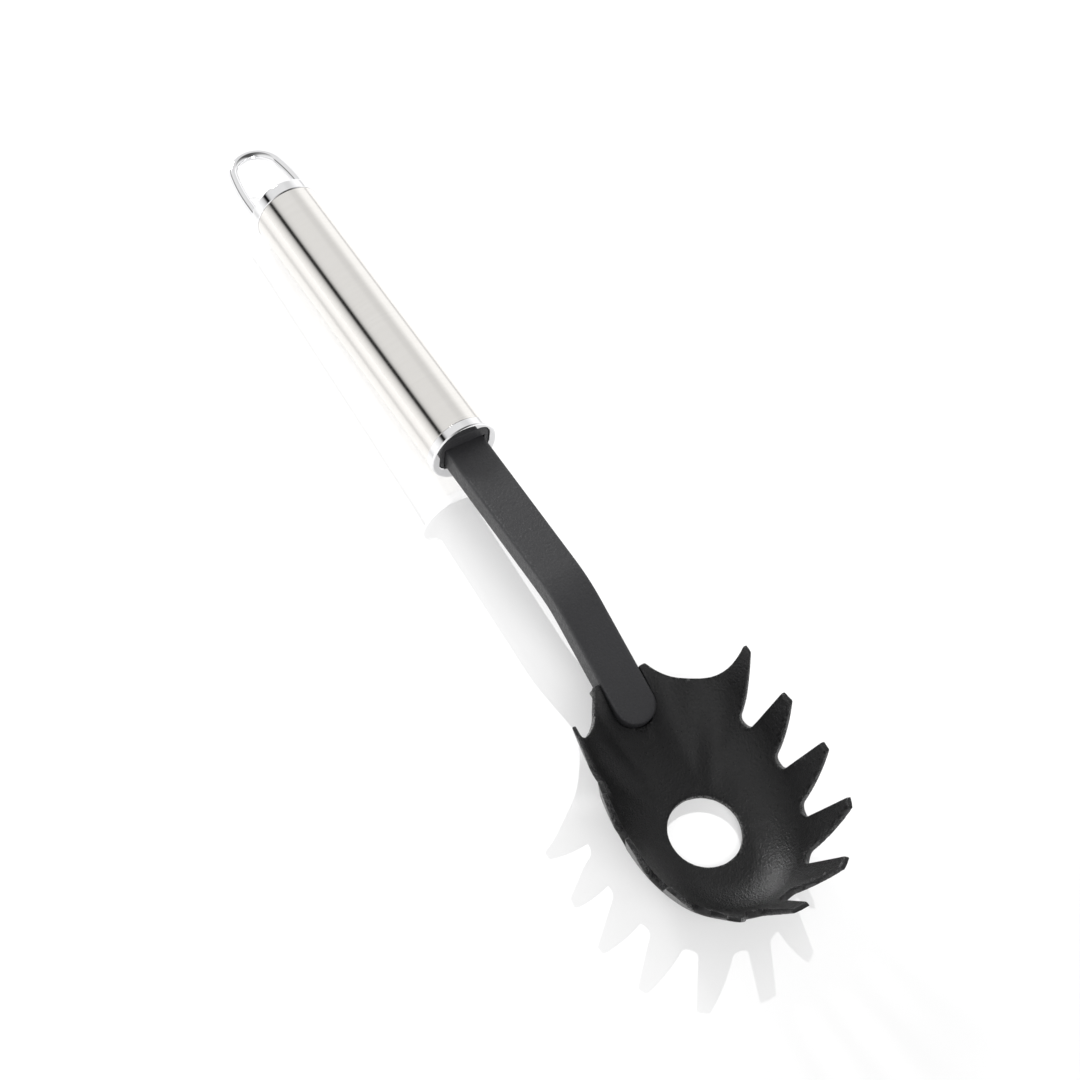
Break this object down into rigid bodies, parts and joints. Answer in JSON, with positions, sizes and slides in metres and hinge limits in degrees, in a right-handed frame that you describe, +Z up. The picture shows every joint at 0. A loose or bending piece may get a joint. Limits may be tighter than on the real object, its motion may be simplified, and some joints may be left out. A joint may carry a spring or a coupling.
{
  "type": "pasta server",
  "caption": "Pasta server: a toothed black bowl with a portion hole, on a bent bar in a round steel handle with a wire hanging loop.",
  "frame": {"origin": "on the table under the middle of the object's length, with the bowl's hollow up", "axes": "+X from the hanging loop towards the bowl's front tine, +Y across, +Z up from the table; the XZ plane is the plane of symmetry"},
  "size_m": [0.3224, 0.0676, 0.0369],
  "materials": {
    "bowl_nylon": "moulded nylon, fine grain, satin",
    "shaft_nylon": "moulded nylon, fine grain, matte",
    "core_plastic": "plain moulded filling, hidden",
    "pin_steel": "plain steel dowel, hidden",
    "polished_steel": "mirror polished",
    "loop_wire": "polished round wire",
    "brushed_steel": "satin brushed stainless steel"
  },
  "bodies": {
    "root": {"bowl": "bowl_nylon", "shaft": "shaft_nylon", "mouth_bush": "shaft_nylon", "handle_core": "core_plastic", "tang_pin": "pin_steel", "ferrule": "polished_steel", "top_cap": "polished_steel", "hanging_loop": "loop_wire", "handle_tube": "brushed_steel"}
  },
  "joints": []
}
